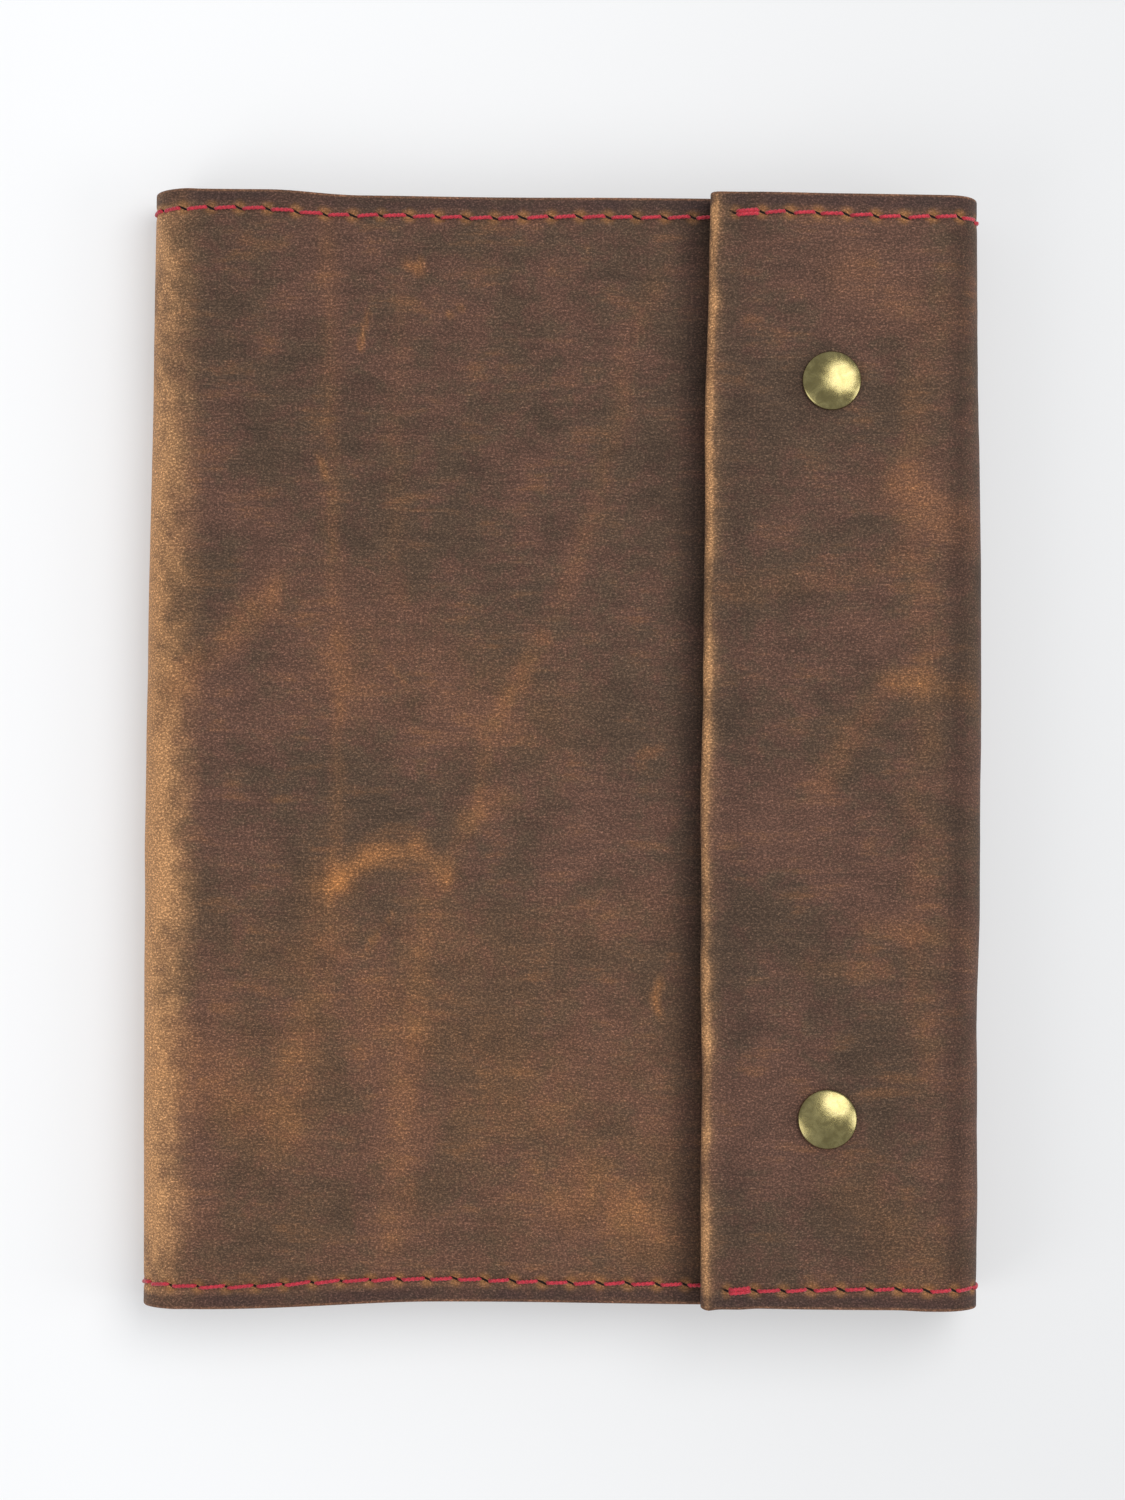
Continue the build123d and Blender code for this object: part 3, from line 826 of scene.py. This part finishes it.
# ---- Pockets ----
rise = front_pocket_depth + high("notebook_front_board")[2] - low("notebook_front_board")[2] - leather + 0.1
back_rise = high("notebook_back_board")[2] - leather + 0.1
pockets = {
    "front": (on_front(front_edge - FRONT_NOSE - FRONT_HEM - 0.1), front_mouth, rise, "front_cover"),
    "back": (back_mouth, back_pocket_end, back_rise, "back_cover"),
}
for part, (first, last, lift, body) in pockets.items():
    mouth = front_mouth if part == "front" else back_mouth
    cavity_end = on_front(board_right + 4.5) if part == "front" else on_back(board_right + 4.5)
    top = over_board(mouth, cavity_end, lift)
    pocket = strip_piece(
        f"pocket_{part}", first, last, top, lining, inner_leather, step=1.0, fine=0.9, shorter=0.3
    )
    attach(pocket, body)
    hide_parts(f"{part}_pocket")

# ---- Sewing ----
SEWN = {
    "front": ["front_stitches"],
    "spine": ["spine_stitches"],
    "back": ["back_stitches", "fore_edge_stitches"],
    "flap": ["flap_stitches"],
}
for part, (first, last, bodies, bend) in LENGTHS.items():
    sewing = stitch_mesh(f"stitches_{part}", first, last, thread_red)
    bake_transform(sewing)
    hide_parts(*SEWN[part])


# ---- Snaps ----
def turned(name, outline, centre, material, steps=96):
    """A body of revolution about a vertical line; outline is radius and height, from top to bottom."""
    verts = [(centre[0], centre[1], outline[0][1])]
    for radius, z in outline[1:]:
        for q in range(steps):
            angle = 2 * math.pi * q / steps
            verts.append((centre[0] + radius * math.cos(angle), centre[1] + radius * math.sin(angle), z))
    faces = [(0, 1 + q, 1 + (q + 1) % steps) for q in range(steps)]
    for i in range(len(outline) - 2):
        a, b = 1 + i * steps, 1 + (i + 1) * steps
        faces += [(a + q, b + q, b + (q + 1) % steps, a + (q + 1) % steps) for q in range(steps)]
    faces.append([1 + (len(outline) - 2) * steps + q for q in range(steps)][::-1])
    return new_mesh(name, verts, faces, material, sharp=60)


def cap_outline():
    """A shallow dome rolled under at its rim, then the tube of its rivet."""
    rim = 0.55
    centre, base = cap_radius - rim, flap_top + 0.35
    turn = math.radians(38)  # how steep the dome is where it meets the rim
    edge = centre + rim * math.sin(turn)
    ball = edge / math.sin(turn)
    dome = base + rim * math.cos(turn)
    scale = (cap_top - dome) / (ball * (1 - math.cos(turn)))
    points = []
    for angle in np.linspace(0, turn, 26):
        points.append((ball * math.sin(angle), dome + scale * ball * (math.cos(angle) - math.cos(turn))))
    for angle in np.linspace(turn, math.pi, 12)[1:]:
        points.append((centre + rim * math.sin(angle), base + rim * math.cos(angle)))
    return points + [(1.9, base - rim), (1.9, flap_top - ply), (1.0, flap_top - ply)]


for end, centre in snaps.items():
    cap = turned(f"{end}_cap_dome", cap_outline(), centre, brass)
    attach(cap, "flap")
    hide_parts(f"{end}_snap_cap")

look = {"antique_brass": brass, "spring_steel": steel(), "bookboard": cloth}
for entry in frame["record"]["subparts"]:
    if entry["material_slot"] in look:
        node = frame["nodes"][entry["node"]]
        node.data.materials.clear()
        node.data.materials.append(look[entry["material_slot"]])

# ---- Notebook: cloth spine between the boards, and the leaves ----
case_parts = {
    "front": (on_front(board_left + 0.2), mid_spine, ["notebook_spine_strip"]),
    "spine": (mid_spine, on_back(board_left + 0.2), []),
}


def under_lining(s, v):
    return np.full_like(s, ply + 0.15)


for part, (first, last, nodes) in case_parts.items():
    spine_cloth = strip_piece(
        f"notebook_cloth_{part}", first, last, under_lining, 0.7, cloth, step=1.0, fine=1.5,
        shorter=HALF_HEIGHT + 2 - board_half,
    )
    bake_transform(spine_cloth)
    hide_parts(*nodes)


def leaf_outline(x0, x1, half, radius):
    """A leaf seen from above, with its two fore-edge corners rounded."""
    points = [(x0, -half)]
    for cx, cy, start in ((x1 - radius, -half + radius, -90), (x1 - radius, half - radius, 0)):
        for angle in np.radians(np.linspace(start, start + 90, 9)):
            points.append((cx + radius * math.cos(angle), cy + radius * math.sin(angle)))
    points.append((x0, half))
    return points


def leaf_block():
    """The leaves, as thin bundles with slightly uneven edges."""
    rng = np.random.default_rng(5)
    (x0, y0, z0), (x1, y1, z1) = low("page_block"), high("page_block")
    bundles = 26
    thick = (z1 - z0) / bundles
    verts, faces = [], []
    for k in range(bundles):
        dx, dy = rng.uniform(-0.16, 0.0), rng.uniform(-0.12, 0.0)
        outline = leaf_outline(x0, x1 + dx, y1 + dy, 4.5)
        base, n = len(verts), len(outline)
        for z in (z0 + k * thick + 0.01, z0 + (k + 1) * thick - 0.01):
            verts += [(x, y, z) for x, y in outline]
        faces.append([base + q for q in range(n)][::-1])
        faces.append([base + n + q for q in range(n)])
        faces += [(base + q, base + (q + 1) % n, base + n + (q + 1) % n, base + n + q) for q in range(n)]
    return new_mesh("leaves", verts, faces, pages, sharp=40)


leaves = leaf_block()
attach(leaves, "back_cover")
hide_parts("page_block")

# ---- Floor, light and camera ----
bpy.ops.mesh.primitive_plane_add(size=8, location=(0, 0, -0.0002))
floor = bpy.context.object
floor.name = "floor"
floor.data.materials.append(studio_floor())

world = bpy.data.worlds.new("studio")
bpy.context.scene.world = world
world.use_nodes = True
world.node_tree.nodes["Background"].inputs[0].default_value = (0.93, 0.96, 1.0, 1.0)
world.node_tree.nodes["Background"].inputs[1].default_value = 0.55


def soft_light(name, position, size, power, tint=(1, 1, 1)):
    data = bpy.data.lights.new(name, "AREA")
    data.shape = "DISK"
    data.size = size
    data.energy = power
    data.color = tint
    lamp = bpy.data.objects.new(name, data)
    lamp.location = position
    lamp.rotation_euler = (-Vector(position)).to_track_quat("-Z", "Y").to_euler()
    bpy.context.scene.collection.objects.link(lamp)


soft_light("above", (0.38, 0.30, 0.95), 0.75, 6.0)
soft_light("left", (-0.80, -0.50, 0.80), 0.7, 3.0)
soft_light("right", (0.90, -0.15, 0.62), 0.5, 2.2)

camera_data = bpy.data.cameras.new("camera")
camera_data.lens = 80
camera = bpy.data.objects.new("camera", camera_data)
camera.location = (0.0003, -0.024, 0.722)
camera.rotation_euler = (math.radians(1.912), 0, math.radians(0.497))
bpy.context.scene.collection.objects.link(camera)
bpy.context.scene.camera = camera
bpy.context.scene.view_settings.view_transform = "Standard"
